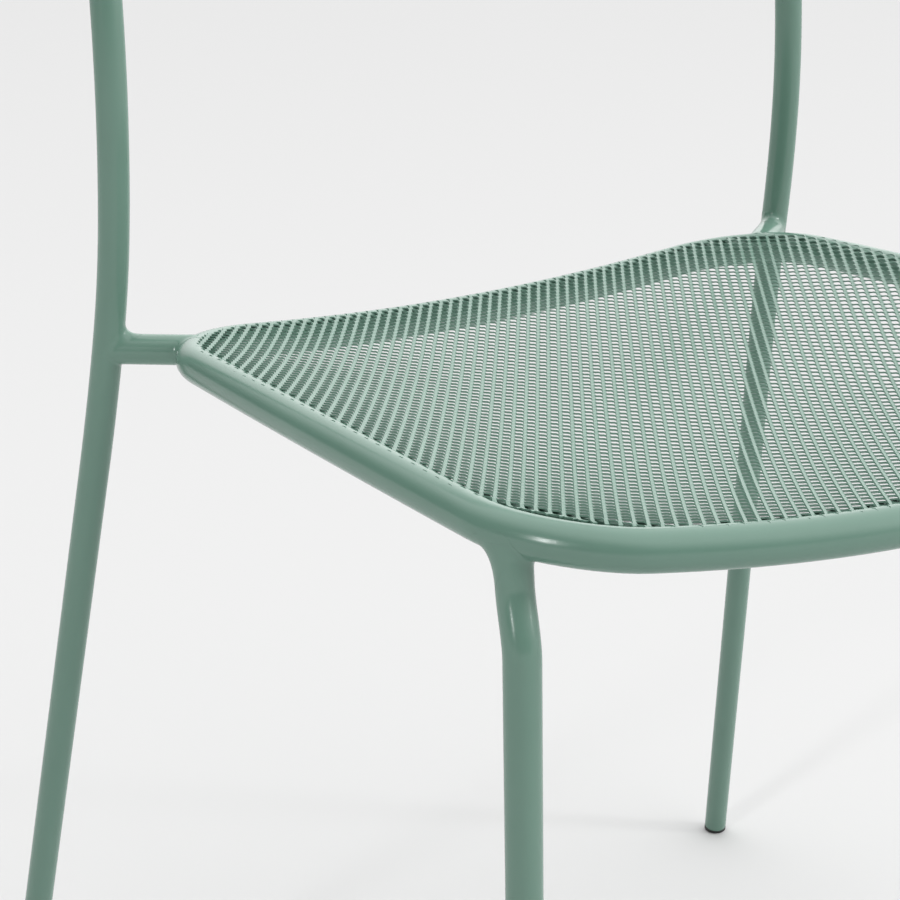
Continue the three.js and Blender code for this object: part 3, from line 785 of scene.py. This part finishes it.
panel_shares = [1.03, 1.015, 1.0, 0.99, 0.98, 0.97, 0.96, 0.95, *np.linspace(0.93, 0.02, 34)]
panel_rows = [panel_row(t, edge_drop(t, PANEL_REACH)) for t in panel_shares]
away = np.array([0.0, -math.cos(BACK_LEAN), math.sin(BACK_LEAN)])
panel_up = (0.0, math.sin(BACK_LEAN), math.cos(BACK_LEAN))
panel_spot = tuple((panel_rows[-1].mean(0) * MM + away * PANEL_BLANK_AHEAD).tolist())
expanded_metal(
    "expanded_metal_back", shear_outline("panel_blank", panel_row(1.0), panel_spot, panel_up),
    guide_surface("panel_guide", panel_rows), *PANEL_CELLS, panel_spot,
    (math.pi / 2 - BACK_LEAN, 0.0, 0.0), tuple((-away).tolist()), seat_coat, "back_mesh")
bpy.data.objects.remove(cell)


# ------------------------------------------------------------------ glides
# Black polyamide plugs driven into the four tube ends; each has a short head, as wide as
# the tube, with a rounded rim that stands flat on the floor.
# The nylon is near-black and dull, with the fine grain of its mould on it.
NYLON_DARK, NYLON_LIGHT = "#1A1C1C", "#2A2C2C"
GRAIN_MM, GRAIN_DEPTH = 0.4, 0.03
nylon = bpy.data.materials.new("moulded_black_polyamide")
nylon.use_nodes = True
nylon_tree = nylon.node_tree
nylon_shader = nylon_tree.nodes["Principled BSDF"]
nylon_place = add_node(nylon_tree, "ShaderNodeTexCoord").outputs["Object"]
grain = add_node(nylon_tree, "ShaderNodeTexNoise", Vector=nylon_place,
                 Scale=1 / (GRAIN_MM * MM), Detail=3.0)
shade = add_node(nylon_tree, "ShaderNodeMix", {"data_type": "RGBA"}, Factor=grain.outputs[0],
                 i6=linear(NYLON_DARK), i7=linear(NYLON_LIGHT))
nylon_tree.links.new(shade.outputs[2], nylon_shader.inputs["Base Color"])
nylon_bump = add_node(nylon_tree, "ShaderNodeBump", Strength=0.6, Distance=GRAIN_DEPTH * MM,
                      Height=grain.outputs[0])
nylon_tree.links.new(nylon_bump.outputs[0], nylon_shader.inputs["Normal"])
nylon_shader.inputs["Roughness"].default_value = 0.55


STEM_SHARE, STEM_UP, SHOULDER_SHARE = 0.7, 6, 0.97
# How far down the head each ring lies, and its size against the tube: a rounded foot.
HEAD_PROFILE = ((0.06, 1.0), (0.72, 1.0), (0.88, 0.975), (0.97, 0.93), (1.0, 0.88))


def glide_skin(end, down, around=48):
    """Loft from the tube's end, square to the tube, to a level rim on the floor, in mm."""
    down = down / np.linalg.norm(down)
    u = np.cross([0.0, 1.0, 0.0], down)
    u /= np.linalg.norm(u)
    w = np.cross(down, u)
    t = np.linspace(0, 2 * math.pi, around, endpoint=False)
    ring = u * np.cos(t)[:, None] + w * np.sin(t)[:, None]
    top = end + ring * TUBE_R
    floor_mid = end - down * end[2] / down[2]
    below = floor_mid + ring * TUBE_R - down * ((ring[:, 2] * TUBE_R) / down[2])[:, None]
    rows = [end + ring * TUBE_R * STEM_SHARE - down * STEM_UP,
            top * SHOULDER_SHARE + end * (1 - SHOULDER_SHARE)]
    for f, size in HEAD_PROFILE:
        mid = end + (floor_mid - end) * f
        edge = top + (below - top) * f
        rows.append(mid + (edge - mid) * size)
    points = np.concatenate(rows)
    faces = [(r * around + k, r * around + (k + 1) % around, (r + 1) * around + (k + 1) % around,
              (r + 1) * around + k) for r in range(len(rows) - 1) for k in range(around)]
    faces.append(tuple(range(around))[::-1])
    faces.append(tuple((len(rows) - 1) * around + k for k in range(around)))
    return points, faces


rear_end = upright_at(foot_h)
rear_down = rear_end - upright_at(foot_h + 40)
plumb = np.array([0.0, 0.0, -1.0])
for label, end, down in (("front", leg_foot, plumb), ("rear", rear_end, rear_down)):
    points, faces = glide_skin(end, down)
    for hand, flip in (("left", np.array), ("right", mirrored)):
        turned = faces if hand == "left" else [f[::-1] for f in faces]
        piece_from(f"glide_plug_{label}_{hand}", [(in_frame(flip(points)), turned)], nylon,
                   "glides", f"glide_{label}_{hand}")


# ------------------------------------------------------------------ floor and lights
# A pale seamless floor under one broad canopy of light that is brightest overhead and to
# the sitter's left and dark on the other side, with an upright softbox to each side.
FLOOR_HALF = 60.0
FLOOR_PAINT = "#CBCBCB"
floor_mesh = bpy.data.meshes.new("floor")
corners = [(-FLOOR_HALF, -FLOOR_HALF, 0), (FLOOR_HALF, -FLOOR_HALF, 0),
           (FLOOR_HALF, FLOOR_HALF, 0), (-FLOOR_HALF, FLOOR_HALF, 0)]
floor_mesh.from_pydata(corners, [], [(0, 1, 2, 3)])
floor = bpy.data.objects.new("floor", floor_mesh)
bpy.context.scene.collection.objects.link(floor)
floor_paint = bpy.data.materials.new("pale_studio_floor")
floor_paint.use_nodes = True
floor_shader = floor_paint.node_tree.nodes["Principled BSDF"]
floor_shader.inputs["Base Color"].default_value = linear(FLOOR_PAINT)
floor_shader.inputs["Roughness"].default_value = 1.0
floor_shader.inputs["Specular IOR Level"].default_value = 0.0
floor_mesh.materials.append(floor_paint)

CANOPY_TOWARDS = (0.60, 0.16, 0.784)
CANOPY_FROM, CANOPY_FULL = -0.05, 0.7
CANOPY_DARK, CANOPY_BRIGHT = 0.02, 1.88
world = bpy.data.worlds.new("studio")
bpy.context.scene.world = world
world.use_nodes = True
canopy_tree = world.node_tree
direction = add_node(canopy_tree, "ShaderNodeTexCoord").outputs["Generated"]
facing = add_node(canopy_tree, "ShaderNodeVectorMath", {"operation": "DOT_PRODUCT"}, i0=direction,
                  i1=CANOPY_TOWARDS)
canopy = add_node(canopy_tree, "ShaderNodeMapRange", {"interpolation_type": "SMOOTHSTEP"},
                  Value=facing.outputs["Value"], i1=CANOPY_FROM, i2=CANOPY_FULL,
                  i3=CANOPY_DARK, i4=CANOPY_BRIGHT)
canopy_tree.links.new(canopy.outputs[0], canopy_tree.nodes["Background"].inputs["Strength"])
canopy_tree.nodes["Background"].inputs["Color"].default_value = linear("#FFFFFF")
bpy.context.scene.view_settings.view_transform = "Standard"


LIGHT_AIM = Vector((0, 0, 0.4))
BOX_AWAY, BOX_CLIMB, BOX_WIDE, BOX_HIGH = 5.2, 20, 0.6, 1.6


def softbox(name, bearing, watts):
    """An upright soft light at a bearing from the chair's front, aimed at the seat."""
    light = bpy.data.lights.new(name, "AREA")
    light.shape = "RECTANGLE"
    light.size, light.size_y, light.energy = BOX_WIDE, BOX_HIGH, watts
    lamp = bpy.data.objects.new(name, light)
    bpy.context.scene.collection.objects.link(lamp)
    swing, climb = math.radians(bearing), math.radians(BOX_CLIMB)
    out = Vector((math.sin(swing) * math.cos(climb), -math.cos(swing) * math.cos(climb),
                  math.sin(climb)))
    place = LIGHT_AIM + out * BOX_AWAY
    lamp.matrix_world = Matrix.Translation(place) @ out.to_track_quat("Z", "Y").to_matrix().to_4x4()


softbox("left_softbox", -70, 68)
softbox("right_softbox", 47, 62)
